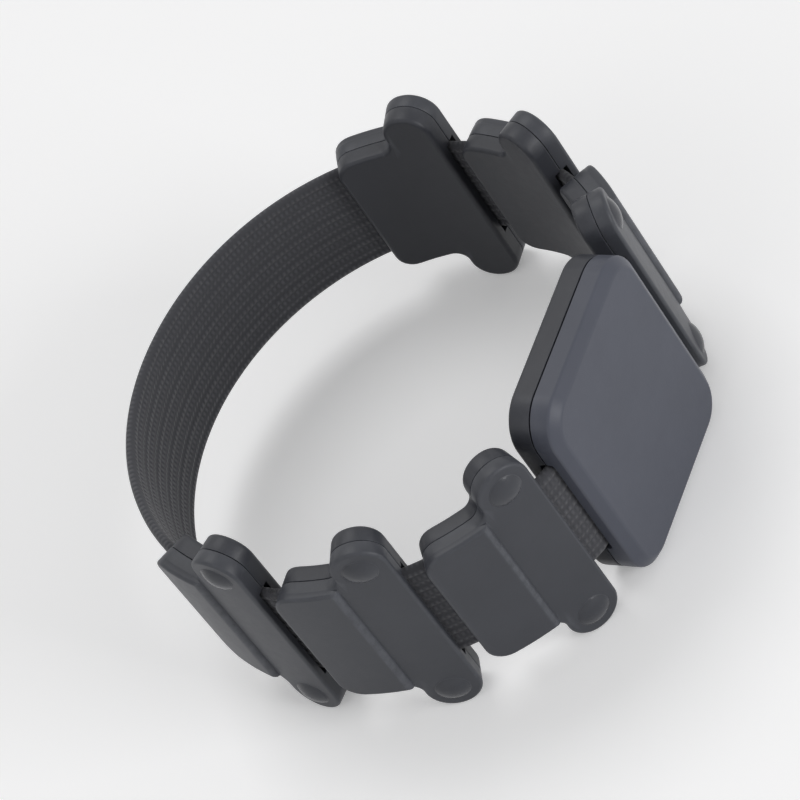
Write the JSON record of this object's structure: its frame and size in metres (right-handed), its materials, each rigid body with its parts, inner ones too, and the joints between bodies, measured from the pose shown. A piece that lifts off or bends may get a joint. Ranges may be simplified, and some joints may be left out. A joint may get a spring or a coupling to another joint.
{
  "type": "magnetic wristband",
  "caption": "Round stretch wristband of moulded links on woven elastic, with a wide magnetic pad and disc magnets hidden in the link ends, for holding pins, clips or screws.",
  "frame": {"origin": "middle of the ring in plan, on the surface that it lies on", "axes": "+Z along the wrist axis towards the hand, -Y out through the middle of the magnetic pad"},
  "size_m": [0.0604, 0.0568, 0.0275],
  "materials": {
    "pad_plastic": "satin slate grey",
    "link_plastic": "satin charcoal",
    "elastic": "woven, ribbed",
    "nickel": "bright nickel plate",
    "steel": "plain sheet steel"
  },
  "bodies": {
    "pad": {"pad_cover": "pad_plastic", "pad_base": "pad_plastic", "pad_keeper": "steel", "pad_magnet_r": "nickel", "pad_magnet_l": "nickel", "band_front_r": "elastic", "band_front_l": "elastic"},
    "link_r1": {"band_r1": "elastic", "link_r1_base": "link_plastic", "link_r1_cover": "link_plastic", "link_r1_magnet_upper": "nickel", "link_r1_magnet_lower": "nickel"},
    "link_r2": {"band_r2": "elastic", "link_r2_base": "link_plastic", "link_r2_cover": "link_plastic", "link_r2_magnet_upper": "nickel", "link_r2_magnet_lower": "nickel"},
    "link_r3": {"band_r3": "elastic", "link_r3_base": "link_plastic", "link_r3_cover": "link_plastic", "link_r3_magnet_upper": "nickel", "link_r3_magnet_lower": "nickel", "band_back": "elastic"},
    "link_l3": {"band_l3": "elastic", "link_l3_base": "link_plastic", "link_l3_cover": "link_plastic", "link_l3_magnet_upper": "nickel", "link_l3_magnet_lower": "nickel"},
    "link_l2": {"band_l2": "elastic", "link_l2_base": "link_plastic", "link_l2_cover": "link_plastic", "link_l2_magnet_upper": "nickel", "link_l2_magnet_lower": "nickel"},
    "link_l1": {"band_l1": "elastic", "link_l1_base": "link_plastic", "link_l1_cover": "link_plastic", "link_l1_magnet_upper": "nickel", "link_l1_magnet_lower": "nickel"}
  },
  "joints": [
    {"name": "band_stretch", "type": "hinge", "parent": "pad", "child": "link_r1", "pos_m": [0.01292, -0.02473, 0.01375], "axis": [0, 0, -1], "range_deg": [0, 6], "stiffness_Nm_per_rad": 0.05},
    {"name": "stretch_r2", "type": "hinge", "parent": "link_r1", "child": "link_r2", "pos_m": [0.02373, -0.01468, 0.01375], "axis": [0, 0, -1], "range_deg": [0, 6]},
    {"name": "stretch_r3", "type": "hinge", "parent": "link_r2", "child": "link_r3", "pos_m": [0.0279, 0.00014, 0.01375], "axis": [0, 0, -1], "range_deg": [0, 6]},
    {"name": "stretch_back", "type": "hinge", "parent": "link_r3", "child": "link_l3", "pos_m": [0, -0.01644, 0.01375], "axis": [0, 0, 1], "range_deg": [0, 36], "deforming": ["band_back"]},
    {"name": "stretch_l3", "type": "hinge", "parent": "link_l3", "child": "link_l2", "pos_m": [-0.0279, 0.00014, 0.01375], "axis": [0, 0, -1], "range_deg": [0, 6]},
    {"name": "stretch_l2", "type": "hinge", "parent": "link_l2", "child": "link_l1", "pos_m": [-0.02373, -0.01468, 0.01375], "axis": [0, 0, -1], "range_deg": [0, 6]}
  ],
  "couplings": [
    {"joint": "stretch_r2", "follows": "band_stretch", "ratio": 1},
    {"joint": "stretch_r3", "follows": "band_stretch", "ratio": 1},
    {"joint": "stretch_back", "follows": "band_stretch", "ratio": 6},
    {"joint": "stretch_l3", "follows": "band_stretch", "ratio": 1},
    {"joint": "stretch_l2", "follows": "band_stretch", "ratio": 1}
  ]
}
